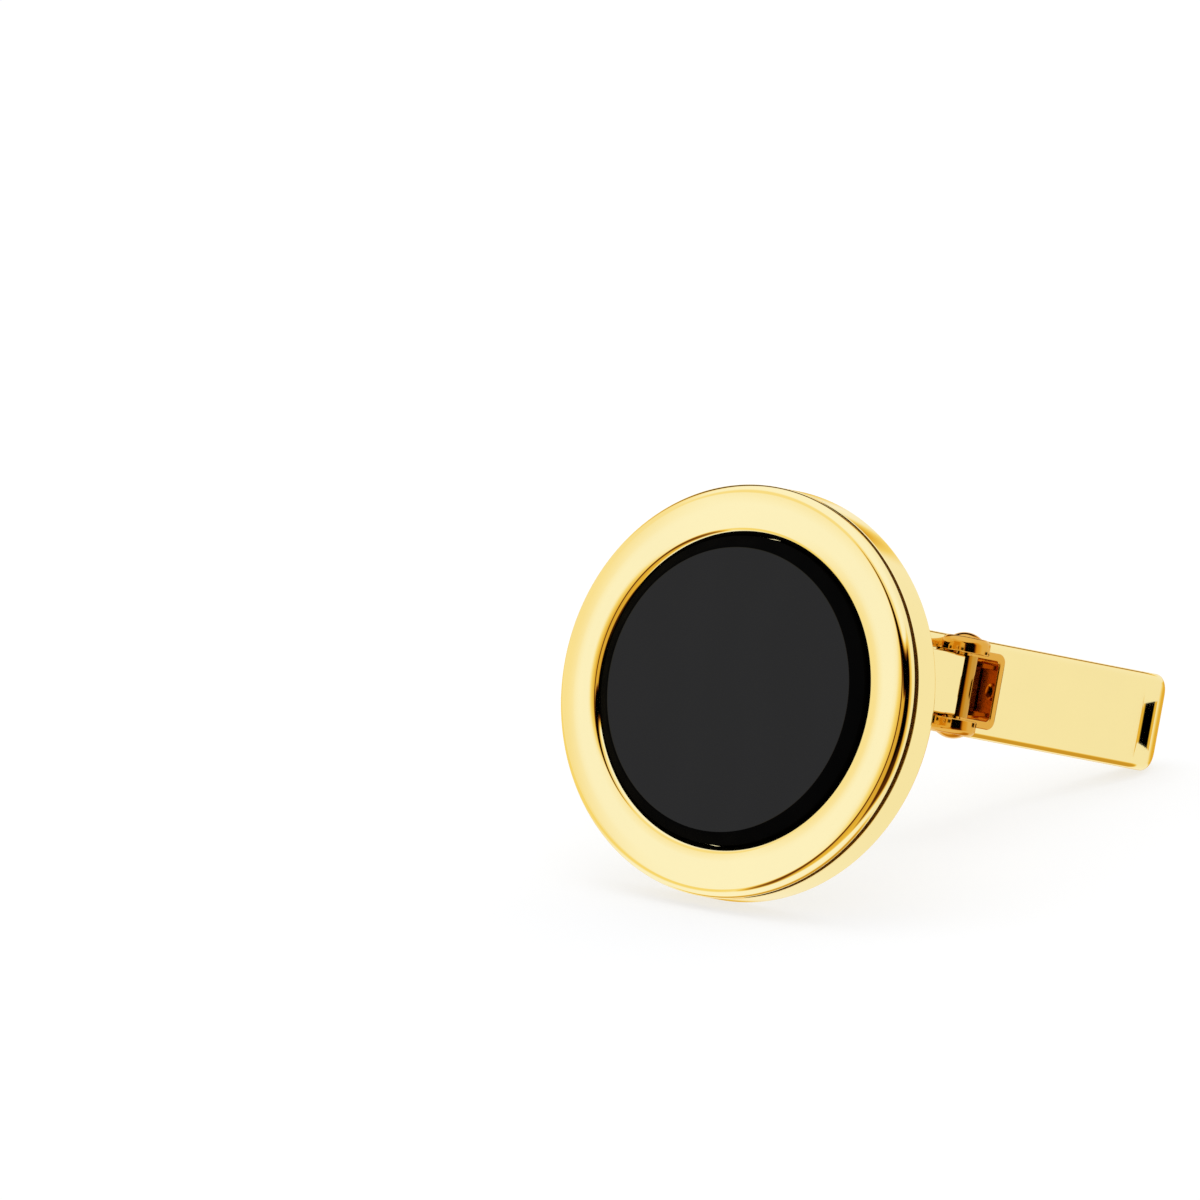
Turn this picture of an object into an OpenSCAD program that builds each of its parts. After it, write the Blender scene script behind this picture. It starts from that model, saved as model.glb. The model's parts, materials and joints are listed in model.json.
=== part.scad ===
// Cufflink with a round stone-set head, a bowed arm and a spring-held swivel toggle.
// It is drawn in its own link frame and then laid down the way it rests on a table:
// on the rear rim of the head and on the lower outer corner of the toggle.
// Link frame: X across the toggle's thickness, Y from the head back to the toggle, Z along the hinge pin.
// Toggle frame: the same three ways, turned by the toggle's lean, with its origin on the pin.

/* [Head] */
// Outer diameter of the head
head_d = 17.7; // [16:0.1:20]
// Depth of the head from its gold face to its back
head_h = 2.3; // [2.2:0.05:3]
// Diameter of the round opening for the stone
opening_d = 13.3; // [12.8:0.1:14]
// Rounding between the gold face and the side wall
face_round = 0.45; // [0.2:0.05:0.6]
// Rounding at the rear edge of the side wall
rear_round = 0.25; // [0.1:0.05:0.4]
// Rounding of the lip along the edge of the opening
opening_round = 0.35; // [0.1:0.05:0.45]
// Thickness of the plate that closes the head's back
back_plate_t = 0.5; // [0.4:0.05:0.6]
// Wall of the ring around the back plate
rim_wall = 0.65; // [0.5:0.05:0.9]
// Width of the shoulder that the back plate rests on
plate_shoulder = 0.6; // [0.4:0.05:0.8]

/* [Stone] */
// Diameter of the stone's flat polished top
stone_top_d = 12.3; // [11:0.1:13]
// Height of the stone's top above the gold face
stone_proud = 0.35; // [0.1:0.05:0.6]
// Thickness of the stone from its top to its back
stone_t = 1.2; // [1:0.05:1.4]
// Gap between the stone's girdle and the opening
stone_gap = 0.03; // [0.02:0.01:0.06]
// Thickness of the cement under the stone
cement_t = 0.1; // [0.05:0.01:0.15]
// Width of the ledge that carries the stone
ledge_w = 0.6; // [0.4:0.05:0.9]
// Thickness of that ledge
ledge_t = 0.3; // [0.2:0.05:0.4]

/* [Arm] */
// Distance from the gold face to the hinge pin, along the head's axis
pin_back = 14.75; // [13:0.05:17]
// Distance from the head's axis to the pin, across the toggle's thickness
pin_side = 1.75; // [1:0.05:2.5]
// Height of the arm and the toggle above the head's axis, along the pin
arm_rise = 2.05; // [0:0.05:2.5]
// Width of the arm along the pin
arm_w = 2.65; // [2.2:0.05:3]
// Thickness of the arm at the hinge
arm_tip_t = 1.1; // [0.9:0.05:1.2]
// Thickness of the arm at the head
arm_root_t = 1.9; // [1.5:0.05:2.4]
// Thickness of the foot that joins the arm to the back plate
foot_t = 0.35; // [0.2:0.05:0.6]
// How far the foot stands out round the arm
foot_lip = 0.35; // [0.2:0.05:0.5]
// Radius of the drilled knuckle at the arm's end
knuckle_r = 0.6; // [0.55:0.01:0.65]
// Distance from the pin's axis to the knuckle's two flats
flat_reach = 0.5; // [0.46:0.01:0.52]

/* [Toggle] */
// Lean of the toggle from the head's axis when it lies along the arm
toggle_lean = 12; // [8:0.5:15]
// Length of the toggle from the pin to its outer end
toggle_out = 14.25; // [12:0.05:15]
// Length of the toggle from the pin to its inner end
toggle_in = 6.5; // [5:0.1:8]
// Width of the toggle along the pin
toggle_w = 4.2; // [4:0.05:5]
// Thickness of the toggle
toggle_t = 1.8; // [1.6:0.05:2.2]
// Corner radius of the toggle seen on its broad face
corner_r = 1.15; // [0.8:0.05:1.4]
// Radius of the long curve in which the hinge face ends, seen from the side
nose_r = 3; // [2:0.1:4]
// Rounding along the sides of the hinge face
face_edge_r = 0.45; // [0.3:0.05:0.5]
// Rounding all round the back face
back_edge_r = 0.5; // [0.35:0.05:0.6]
// Wall of the toggle's front shell
shell_t = 0.4; // [0.3:0.05:0.45]
// Wall of the front shell at its two ends
shell_end_t = 1.7; // [1.6:0.05:2.5]
// Thickness of the toggle's back cover
cover_t = 0.35; // [0.3:0.05:0.45]
// Height of the step that locates the cover inside the shell
cover_step = 0.2; // [0.15:0.05:0.25]

/* [Hinge] */
// Height of the pin's axis above the toggle's hinge face
pin_height = 0.65; // [0.64:0.01:0.75]
// Radius of the hinge pin
pin_r = 0.32; // [0.28:0.01:0.36]
// Running clearance round the pin in the knuckle
pin_gap = 0.03; // [0.02:0.005:0.06]
// Clearance between the arm and each ear
ear_gap = 0.1; // [0.05:0.01:0.15]
// Radius of the two ears
ear_r = 1.05; // [0.95:0.01:1.15]
// Depth to which the ears reach below the hinge face
ear_root = 0.5; // [0.45:0.05:0.6]
// Wall of the bracket round the pocket
bracket_wall = 0.35; // [0.25:0.05:0.4]
// Width of the pocket
pocket_w = 2.6; // [2.4:0.05:2.6]
// Distance from the pin to the pocket's outer wall
pocket_out = 2.7; // [2.5:0.05:3]
// Distance from the pin to the bracket's open inner end
pocket_in = 0.9; // [0.85:0.05:1.1]
// Corner radius of the bracket
bracket_corner_r = 0.4; // [0.3:0.05:0.5]
// Height of the bracket's rim above the hinge face
rim_h = 0.18; // [0.1:0.01:0.22]
// Thickness of the bracket's floor
floor_t = 0.25; // [0.2:0.05:0.3]
// Rounding round the outside of each ear
ear_round = 0.3; // [0.15:0.05:0.35]
// Radius of the domed pin heads
head_r = 0.62; // [0.5:0.01:0.7]
// Height of the domed pin heads
rivet_h = 0.2; // [0.1:0.01:0.25]

/* [Spring] */
// Thickness of the leaf spring
spring_t = 0.2; // [0.15:0.01:0.22]
// Width of the leaf spring
spring_w = 1.9; // [1.5:0.05:2]
// Gap between the spring's pad and the knuckle's flat
spring_gap = 0.02; // [0.01:0.005:0.03]
// Half length of the spring's pad under the knuckle
pad_half = 0.4; // [0.3:0.05:0.45]
// Distance from the pin to where the spring meets the floor
spring_foot = 1.15; // [1.1:0.05:1.3]
// Distance from the pin to the rivet that holds the spring
rivet_out = 1.9; // [1.8:0.05:2]
// Radius of the spring rivet's shank
rivet_r = 0.2; // [0.15:0.01:0.25]
// Radius of the spring rivet's head
rivet_head_r = 0.38; // [0.32:0.01:0.45]

/* [Hidden] */

// Facet counts of ordinary and of very large circles
$fn = 96;
large_fn = 1440;
// Overrun of every cut past the face that it opens
over = 0.2;

gold = [0.93, 0.76, 0.33];
pale_gold = [0.96, 0.84, 0.50];
dark_gold = [0.76, 0.50, 0.14];
onyx = [0.09, 0.09, 0.095];
cement = [0.55, 0.52, 0.45];

head_r_out = head_d / 2;
opening_r = opening_d / 2;
plate_r = head_r_out - rim_wall;
shoulder_r = plate_r - plate_shoulder;
plate_front = head_h - back_plate_t;
stone_back = stone_t - stone_proud;
ledge_front = stone_back + cement_t;
ledge_back = ledge_front + ledge_t;
ledge_r = opening_r - ledge_w;

ear_in = arm_w / 2 + ear_gap;
half_w = toggle_w / 2;
face_n = -pin_height;
back_n = face_n - toggle_t;
split_n = back_n + cover_t;
step_n = split_n + cover_step;
floor_n = step_n + floor_t;
rim_n = face_n + rim_h;
pocket_half = pocket_w / 2;
bracket_half = pocket_half + bracket_wall;
bracket_out = pocket_out + bracket_wall;
ear_foot = sqrt(pow(ear_r, 2) - pow(pin_height, 2));
bore_r = pin_r + pin_gap;
pad_top = -(flat_reach + spring_gap);
spring_mid = spring_t / 2;
dome_r = (pow(head_r, 2) + pow(rivet_h, 2)) / (2 * rivet_h);

// Length of the curve at each end of the toggle, which runs from the hinge face into the back edge's rounding,
// and the depth at which the two arcs meet
nose_arm = nose_r - back_edge_r;
nose_drop = nose_r + back_edge_r - toggle_t;
nose_reach = back_edge_r + sqrt(pow(nose_arm, 2) - pow(nose_drop, 2));
nose_join_n = face_n - nose_r + nose_drop * nose_r / nose_arm;

// Share of the knuckle's radius at which the arm's flat end lies before the pin
tip_share = 0.7;

// Where the arm's two long faces begin and end, as [across, back] points of the link frame
lean_side = [cos(toggle_lean), -sin(toggle_lean)];
pin_at = [pin_side, pin_back];
tip_front = pin_at + arm_tip_t / 2 * lean_side;
tip_rear = pin_at - arm_tip_t / 2 * lean_side;
root_front = [arm_root_t / 2, head_h];
root_rear = [-arm_root_t / 2, head_h];

// Radius of the arc that leaves the hinge along the toggle's lean and passes through the root
function bow(tip, root) = pow(norm(root - tip), 2) / (2 * (root - tip) * lean_side);

front_bow = bow(tip_front, root_front);
rear_bow = bow(tip_rear, root_rear);

// Lowest corner of the toggle, as the centre of its corner radius in the link frame
corner_along = toggle_out - corner_r;
corner_n = back_n + back_edge_r;
corner_back = pin_back + corner_along * cos(toggle_lean) - corner_n * sin(toggle_lean);
corner_up = arm_rise - (half_w - corner_r);
corner_top = arm_rise + half_w - corner_r;
rear_ring_r = head_r_out - rear_round;
rear_ring_back = head_h - rear_round;

// Angle at which the rear rim and that corner stand on one level surface
stand_run = corner_back - rear_ring_back;
stand_drop = corner_up + rear_ring_r;
stand_span = sqrt(pow(stand_run, 2) + pow(stand_drop, 2));
rest_tilt = atan2(stand_drop, stand_run) + asin((rear_round - corner_r) / stand_span);

// Height of that surface and the front and rear limits of the whole link, once tilted
ground = -rear_ring_back * sin(rest_tilt) - rear_ring_r * cos(rest_tilt) - rear_round;
front_ring_r = head_r_out - face_round;
limit_front = face_round * cos(rest_tilt) - front_ring_r * sin(rest_tilt) - face_round;
limit_rear = corner_back * cos(rest_tilt) + corner_top * sin(rest_tilt) + corner_r;
middle = (limit_front + limit_rear) / 2;

// Lays the link down as it rests, with its origin under the middle of its box
module at_rest() {
    translate([0, -middle, -ground])
        rotate([-rest_tilt, 0, 0])
            children();
}

// Stands a profile drawn about the vertical axis round the head's axis
module about_head() {
    rotate([-90, 0, 0])
        rotate_extrude()
            children();
}

// Places what is drawn in the toggle frame
module on_pin() {
    translate([pin_side, pin_back, arm_rise])
        rotate([0, 0, -toggle_lean])
            children();
}

// Turns an outline drawn as [along, up] into a slab between two depths of the toggle frame
module slab(low, high) {
    translate([low, 0, 0])
        rotate([90, 0, 90])
            linear_extrude(high - low)
                children();
}

// Extrudes an outline drawn as [depth, along] between two heights along the pin
module along_pin(low, high) {
    translate([0, 0, low])
        linear_extrude(high - low)
            children();
}

// Rectangle between two corners
module span(low, high) {
    translate(low)
        square(high - low);
}

// What is cut away to round a corner; way points from the corner into the body
module corner_cut(corner, r, way) {
    translate(corner)
        difference() {
            translate([way.x > 0 ? -over : -r, way.y > 0 ? -over : -r])
                square(r + over);
            translate(r * way)
                circle(r);
        }
}

// Rectangle between two corners with all four corners rounded alike
module rounded_span(low, high, r) {
    difference() {
        span(low, high);
        corner_cut(low, r, [1, 1]);
        corner_cut(high, r, [-1, -1]);
        corner_cut([low.x, high.y], r, [1, -1]);
        corner_cut([high.x, low.y], r, [-1, 1]);
    }
}

// Strip of the spring's thickness between two points, with round ends
module leaf(from, to) {
    way = to - from;
    translate(from)
        rotate(atan2(way.y, way.x))
            translate([0, -spring_mid])
                square([norm(way), spring_t]);
    translate(from)
        circle(spring_mid);
    translate(to)
        circle(spring_mid);
}

// Side outline of one end of the toggle, drawn as [depth, along] up to the distance end from the pin
module nose_outline(end) {
    intersection() {
        translate([face_n - nose_r, end - nose_reach])
            circle(nose_r);
        span([nose_join_n, end - nose_reach - over], [face_n, end]);
    }
    translate([back_n + back_edge_r, end - back_edge_r])
        circle(back_edge_r);
    span([back_n, end - nose_reach - over], [nose_join_n, end - back_edge_r]);
}

// Outer form of the whole closed toggle, from its plan, its section and its side
module toggle_form() {
    intersection() {
        slab(back_n, face_n)
            rounded_span([-toggle_in, -half_w], [toggle_out, half_w], corner_r);
        rotate([90, 0, 0])
            along_pin(-toggle_out - over, toggle_in + over)
                difference() {
                    span([back_n, -half_w], [face_n, half_w]);
                    corner_cut([face_n, half_w], face_edge_r, [-1, -1]);
                    corner_cut([face_n, -half_w], face_edge_r, [-1, 1]);
                    corner_cut([back_n, half_w], back_edge_r, [1, -1]);
                    corner_cut([back_n, -half_w], back_edge_r, [1, 1]);
                }
        along_pin(-half_w - over, half_w + over) {
            span([back_n, nose_reach - toggle_in], [face_n, toggle_out - nose_reach]);
            nose_outline(toggle_out);
            mirror([0, 1])
                nose_outline(toggle_in);
        }
    }
}

// Outline of the bracket where it passes through the hinge face
module bracket_outline() {
    rounded_span([-pocket_in, -bracket_half], [bracket_out, bracket_half], bracket_corner_r);
}

// Outline of the space inside the front shell
module cavity_outline() {
    span(
        [-toggle_in + shell_end_t, -half_w + shell_t],
        [toggle_out - shell_end_t, half_w - shell_t]
    );
}

// Gold ring with its flat face, its rounded rim, the stone's ledge and the plate's rebate
module bezel_ring() {
    color(gold)
        at_rest()
            about_head()
                difference() {
                    span([ledge_r, 0], [head_r_out, head_h]);
                    span([ledge_r - over, -over], [opening_r, ledge_front]);
                    span([ledge_r - over, ledge_back], [shoulder_r, head_h + over]);
                    span([ledge_r - over, plate_front], [plate_r, head_h + over]);
                    corner_cut([opening_r, 0], opening_round, [1, 1]);
                    corner_cut([head_r_out, 0], face_round, [-1, 1]);
                    corner_cut([head_r_out, head_h], rear_round, [-1, -1]);
                }
}

// Black stone with a flat top and a chamfer down to its girdle
module onyx_disc() {
    color(onyx)
        at_rest()
            about_head()
                polygon([
                    [0, -stone_proud],
                    [stone_top_d / 2, -stone_proud],
                    [opening_r - stone_gap, 0],
                    [opening_r - stone_gap, stone_back],
                    [0, stone_back]
                ]);
}

// Thin ring of cement between the stone and its ledge
module stone_cement() {
    color(cement)
        at_rest()
            about_head()
                span([ledge_r, stone_back], [opening_r - stone_gap, ledge_front]);
}

// Round plate that closes the head and carries the arm
module back_plate() {
    color(pale_gold)
        at_rest()
            about_head()
                span([0, plate_front], [plate_r, head_h]);
}

// Long faces of the arm, as the space between two bows
module arm_profile() {
    difference() {
        intersection() {
            translate(tip_rear + rear_bow * lean_side)
                circle(rear_bow, $fn = large_fn);
            span([-pin_back, head_h], [pin_back, pin_back]);
        }
        translate(tip_front + front_bow * lean_side)
            circle(front_bow, $fn = large_fn);
        translate(pin_at)
            circle(knuckle_r);
        translate(pin_at)
            rotate(-toggle_lean)
                span([-pin_back, -knuckle_r * tip_share], [pin_back, pin_back]);
    }
}

// Bowed arm with its foot on the back plate
module arm() {
    color(pale_gold)
        at_rest()
            translate([0, 0, arm_rise]) {
                along_pin(-arm_w / 2, arm_w / 2)
                    arm_profile();
                foot_half = [arm_root_t / 2 + foot_lip, arm_w / 2 + foot_lip];
                translate([0, head_h, 0])
                    rotate([-90, 0, 0])
                        linear_extrude(foot_t)
                            rounded_span(-foot_half, foot_half, foot_lip);
            }
}

// Drilled knuckle at the arm's end, with one flat for each rest position of the toggle
module arm_knuckle() {
    color(dark_gold)
        at_rest()
            on_pin()
                along_pin(-arm_w / 2, arm_w / 2)
                    difference() {
                        intersection() {
                            circle(knuckle_r);
                            span(
                                [-flat_reach, -knuckle_r - over],
                                [knuckle_r + over, flat_reach]
                            );
                        }
                        circle(bore_r);
                    }
}

// Pin riveted over the outsides of both ears
module hinge_pin() {
    color(dark_gold)
        at_rest()
            on_pin() {
                cylinder(h = toggle_w, r = pin_r, center = true);
                for (up = [0, 1])
                    mirror([0, 0, up])
                        translate([0, 0, half_w])
                            rotate_extrude()
                                intersection() {
                                    translate([0, rivet_h - dome_r])
                                        circle(dome_r);
                                    span([0, 0], [head_r, rivet_h]);
                                }
            }
}

// One ear, with its outside rounded over
module ear() {
    rotate_extrude()
        difference() {
            span([0, ear_in], [ear_r, half_w]);
            corner_cut([ear_r, half_w], ear_round, [-1, -1]);
        }
}

// Space in the toggle's sides that the roots of the two ears fill
module ear_notch() {
    slab(face_n - ear_root, face_n + over)
        span([-ear_foot, -toggle_w], [ear_foot, toggle_w]);
}

// Bracket with its pocket, its raised rim and the two ears that carry the pin
module hinge_bracket() {
    color(dark_gold)
        at_rest()
            on_pin()
                difference() {
                    union() {
                        slab(step_n, rim_n)
                            bracket_outline();
                        for (side = [0, 1])
                            mirror([0, 0, side])
                                ear();
                        intersection() {
                            toggle_form();
                            ear_notch();
                        }
                    }
                    slab(floor_n, rim_n + over)
                        difference() {
                            span([-pocket_in - over, -pocket_half], [pocket_out, pocket_half]);
                            corner_cut([pocket_out, pocket_half], bracket_corner_r / 2, [-1, -1]);
                            corner_cut([pocket_out, -pocket_half], bracket_corner_r / 2, [-1, 1]);
                        }
                    cylinder(h = toggle_w + over, r = pin_r, center = true);
                    along_pin(-ear_in, ear_in)
                        circle(knuckle_r + pin_gap);
                }
}

// Front shell of the toggle, with the window and the notches that the bracket fills
module toggle_shell() {
    color(gold)
        at_rest()
            on_pin()
                difference() {
                    toggle_form();
                    slab(back_n - over, split_n)
                        span([-toggle_in - over, -toggle_w], [toggle_out + over, toggle_w]);
                    slab(split_n - over, face_n - shell_t)
                        cavity_outline();
                    slab(split_n - over, face_n + over)
                        bracket_outline();
                    ear_notch();
                }
}

// Back cover of the toggle, with the step that locates it in the shell
module toggle_cover() {
    color(gold)
        at_rest()
            on_pin() {
                intersection() {
                    toggle_form();
                    slab(back_n - over, split_n)
                        span([-toggle_in - over, -toggle_w], [toggle_out + over, toggle_w]);
                }
                slab(split_n, step_n)
                    cavity_outline();
            }
}

// Leaf spring that lies on the pocket's floor and presses its pad on the knuckle
module leaf_spring() {
    pad_n = pad_top - spring_mid;
    low_n = floor_n + spring_mid;
    color(gold)
        at_rest()
            on_pin()
                difference() {
                    along_pin(-spring_w / 2, spring_w / 2) {
                        leaf([pad_n, -pad_half], [pad_n, pad_half]);
                        leaf([pad_n, pad_half], [low_n, spring_foot]);
                        leaf([low_n, spring_foot], [low_n, pocket_out - spring_t]);
                    }
                    translate([floor_n, rivet_out, 0])
                        rotate([0, 90, 0])
                            cylinder(h = toggle_t, r = rivet_r, center = true);
                }
}

// Rivet that holds the spring's foot to the bracket's floor
module spring_rivet() {
    color(dark_gold)
        at_rest()
            on_pin()
                translate([floor_n, rivet_out, 0])
                    rotate([0, 90, 0]) {
                        cylinder(h = spring_t, r = rivet_r);
                        translate([0, 0, spring_t])
                            cylinder(h = spring_mid, r = rivet_head_r);
                    }
}

bezel_ring();
onyx_disc();
stone_cement();
back_plate();
arm();
arm_knuckle();
hinge_pin();
hinge_bracket();
toggle_shell();
toggle_cover();
leaf_spring();
spring_rivet();
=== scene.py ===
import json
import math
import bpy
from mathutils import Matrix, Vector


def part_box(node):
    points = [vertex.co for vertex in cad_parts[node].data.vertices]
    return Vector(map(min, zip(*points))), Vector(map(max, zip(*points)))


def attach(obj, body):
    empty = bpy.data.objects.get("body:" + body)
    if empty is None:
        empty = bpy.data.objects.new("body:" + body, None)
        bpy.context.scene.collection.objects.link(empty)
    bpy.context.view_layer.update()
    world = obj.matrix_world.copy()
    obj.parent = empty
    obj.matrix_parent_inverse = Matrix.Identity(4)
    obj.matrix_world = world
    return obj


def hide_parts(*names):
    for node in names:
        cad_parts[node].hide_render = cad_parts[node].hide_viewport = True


bl_info = {
    "name": "Round stone-set cufflink",
    "version": (1, 0, 0),
    "blender": (4, 5, 0),
    "location": "3D View > Sidebar > Cufflink",
    "description": "Builds the cufflink piece by piece over its packed frame, and its studio",
    "category": "Object",
}

from types import SimpleNamespace

import bmesh
import bpy
from bpy.props import FloatProperty, FloatVectorProperty, IntProperty, PointerProperty
from mathutils import Matrix, Vector

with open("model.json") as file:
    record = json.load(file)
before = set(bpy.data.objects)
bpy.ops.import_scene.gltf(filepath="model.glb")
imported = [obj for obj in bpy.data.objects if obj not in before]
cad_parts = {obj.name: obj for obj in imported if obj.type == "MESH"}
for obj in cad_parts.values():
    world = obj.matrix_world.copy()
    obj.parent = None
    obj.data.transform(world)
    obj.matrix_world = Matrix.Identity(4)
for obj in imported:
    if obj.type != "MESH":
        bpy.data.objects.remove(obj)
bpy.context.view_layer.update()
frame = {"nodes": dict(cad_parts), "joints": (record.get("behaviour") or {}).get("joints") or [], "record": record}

MOUNTS = {mount["name"]: mount for mount in frame["record"]["mounts"]}


def middle(node):
    """Middle of a node's box."""
    low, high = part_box(node)
    return (low + high) / 2


def extent(node):
    """Size of a node's box in millimetres."""
    low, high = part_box(node)
    return (high - low) * 1000


def placed(x, y, z, origin):
    """Matrix that takes millimetres along three directions from an origin to metres of the frame."""
    matrix = Matrix((x, y, z)).transposed().to_4x4() @ Matrix.Scale(0.001, 4)
    matrix.translation = origin
    return matrix


# Directions of the link: across the toggle's thickness, from the gold face back, and along the pin
ACROSS = Vector((1, 0, 0))
PIN_UP = -Vector(frame["joints"][0]["axis"]).normalized()
BACKWARDS = PIN_UP.cross(ACROSS)
# Directions of the toggle: out of its hinge face, and along it
FACE_OUT = Vector(MOUNTS["toggle_face"]["axis"]).normalized()
ALONG = PIN_UP.cross(FACE_OUT).normalized()

HEAD_D = extent("bezel_ring").x
PLATE_D = extent("back_plate").x
STONE_D = extent("onyx_disc").x
HEAD_H = 2.3
PLATE_T = 0.5
# From millimetres of the head and the arm, whose origin is the middle of the gold face
LINK = placed(ACROSS, BACKWARDS, PIN_UP, middle("back_plate") - BACKWARDS * (HEAD_H - PLATE_T / 2) / 1000)
# From millimetres of the hinge and the toggle, whose origin is the middle of the pin
TOGGLE = placed(FACE_OUT, ALONG, PIN_UP, middle("hinge_pin"))
PIN_AT = LINK.inverted() @ middle("hinge_pin")
# Turn of the toggle's length out of the head's axis
LEAN = math.asin(ALONG.x)


def length(label, description, value):
    """Property for a length, given in millimetres."""
    return FloatProperty(
        name=label,
        description=description,
        default=value / 1000,
        min=0,
        precision=5,
        unit="LENGTH",
    )


def colour(label, description, value):
    """Property for a colour."""
    return FloatVectorProperty(
        name=label,
        description=description,
        default=value,
        min=0,
        max=1,
        size=3,
        subtype="COLOR",
    )


class HeadSizes(bpy.types.PropertyGroup):
    """Sizes of the head"""

    head_d: length("Head diameter", "Outer diameter of the gold ring", HEAD_D)
    head_h: length("Head depth", "Depth from the gold face to the back", HEAD_H)
    opening_d: length("Opening", "Diameter of the opening for the stone", 13.3)
    lip_r: length("Lip", "Rounding of the lip round the stone", 0.35)
    face_r: length("Face rounding", "Rounding between the gold face and the side wall", 0.45)
    cushion: length("Cushion", "How far the gold face falls away towards its edges", 0.055)
    cushion_in: length("Inner slope", "Width of that slope at the opening", 0.8)
    cushion_out: length("Outer slope", "Width of that slope at the rim", 1.0)
    cushion_r: length("Cushion rounding", "Reach of the rounding where the slopes begin", 0.2)
    seam_back: length("Seam", "Depth of the fine seam behind the face rounding", 0.485)
    seam_w: length("Seam width", "Width of that seam", 0.3)
    rear_r: length("Rear rounding", "Rounding at the rear edge of the side wall", 0.25)
    plate_d: length("Back plate", "Diameter of the back plate", PLATE_D)
    plate_t: length("Plate thickness", "Thickness of the back plate", PLATE_T)
    shoulder: length("Shoulder", "Width of the shoulder under the back plate", 0.6)
    stone_d: length("Stone", "Diameter of the stone at its girdle", STONE_D)
    stone_top_d: length("Stone top", "Diameter of the stone's flat top", 12.3)
    stone_proud: length("Stone height", "Height of the stone above the gold face", 0.35)
    stone_t: length("Stone thickness", "Thickness of the stone", 1.2)
    cement_t: length("Cement", "Thickness of the cement under the stone", 0.1)
    ledge_w: length("Ledge", "Width of the ledge that carries the stone", 0.6)
    ledge_t: length("Ledge thickness", "Thickness of that ledge", 0.3)


class ArmSizes(bpy.types.PropertyGroup):
    """Sizes of the arm"""

    width: length("Width", "Width of the arm along the pin", 2.65)
    tip_t: length("Tip thickness", "Thickness of the arm at the hinge", 1.1)
    root_t: length("Root thickness", "Thickness of the arm at the head", 1.9)
    foot_t: length("Foot thickness", "Thickness of the foot on the back plate", 0.35)
    foot_lip: length("Foot lip", "How far the foot stands out round the arm", 0.35)
    knuckle_r: length("Knuckle radius", "Radius of the drilled knuckle", 0.6)
    flat_reach: length("Flats", "Distance from the pin to the knuckle's flats", 0.5)
    tip_back: length("Tip distance", "Distance of the arm's flat end before the pin", 0.42)
    edge_r: length("Edges", "Softening of the arm's long edges", 0.12)


class ToggleSizes(bpy.types.PropertyGroup):
    """Sizes of the toggle"""

    out: length("Outer reach", "Length from the pin to the outer end", 14.25)
    inner: length("Inner reach", "Length from the pin to the inner end", 6.5)
    width: length("Width", "Width of the toggle along the pin", 4.2)
    thickness: length("Thickness", "Thickness of the toggle", 1.8)
    pin_height: length("Pin height", "Height of the pin above the hinge face", 0.65)
    corner_r: length("Corners", "Corner radius seen on the broad face", 1.15)
    nose_r: length("Nose", "Radius of the long curve that ends the hinge face", 3.0)
    face_r: length("Face edges", "Rounding along the hinge face", 0.45)
    back_r: length("Back edges", "Rounding round the back face", 0.5)
    cover_t: length("Cover wall", "Wall of the back cover", 0.35)
    seam: length("Seam", "Fine gap between the shell and its cover", 0.012)
    pocket_depth: length("Pocket depth", "Depth of the recess for the bracket", 1.25)


class HingeSizes(bpy.types.PropertyGroup):
    """Sizes of the hinge"""

    pin_r: length("Pin radius", "Radius of the hinge pin", 0.32)
    head_r: length("Pin head radius", "Radius of the domed pin heads", 0.62)
    head_h: length("Pin head height", "Height of the domed pin heads", 0.2)
    ear_r: length("Ear radius", "Radius of the two ears", 1.05)
    ear_in: length("Ear distance", "Distance from the middle to the ears' insides", 1.425)
    ear_round: length("Ear rounding", "Rounding round the outside of each ear", 0.3)
    pocket_half: length("Pocket half width", "Half of the pocket's width", 1.3)
    pocket_out: length("Pocket reach", "Distance from the pin to the pocket's outer wall", 2.7)
    pocket_in: length("Pocket start", "Distance from the pin to the bracket's inner end", 0.9)
    wall: length("Bracket wall", "Wall of the bracket round the pocket", 0.35)
    corner_r: length("Bracket corners", "Corner radius of the bracket", 0.4)
    rim_h: length("Rim", "Height of the rim above the hinge face", 0.18)
    floor_d: length("Floor depth", "Depth of the pocket's floor under the hinge face", 1.0)
    floor_t: length("Floor", "Thickness of the bracket's floor", 0.24)
    spring_t: length("Spring", "Thickness of the leaf spring", 0.2)
    spring_w: length("Spring width", "Width of the leaf spring", 1.9)
    pad_half: length("Pad", "Half length of the spring's pad", 0.4)
    pad_gap: length("Pad gap", "Gap between the pad and the knuckle's flat", 0.02)
    spring_foot: length("Spring foot", "Distance from the pin to where the spring meets the floor", 1.15)
    rivet_out: length("Rivet distance", "Distance from the pin to the spring's rivet", 1.9)
    rivet_r: length("Rivet head", "Radius of the rivet's head", 0.38)
    rivet_h: length("Rivet height", "Height of the rivet's head over the floor", 0.3)


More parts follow.
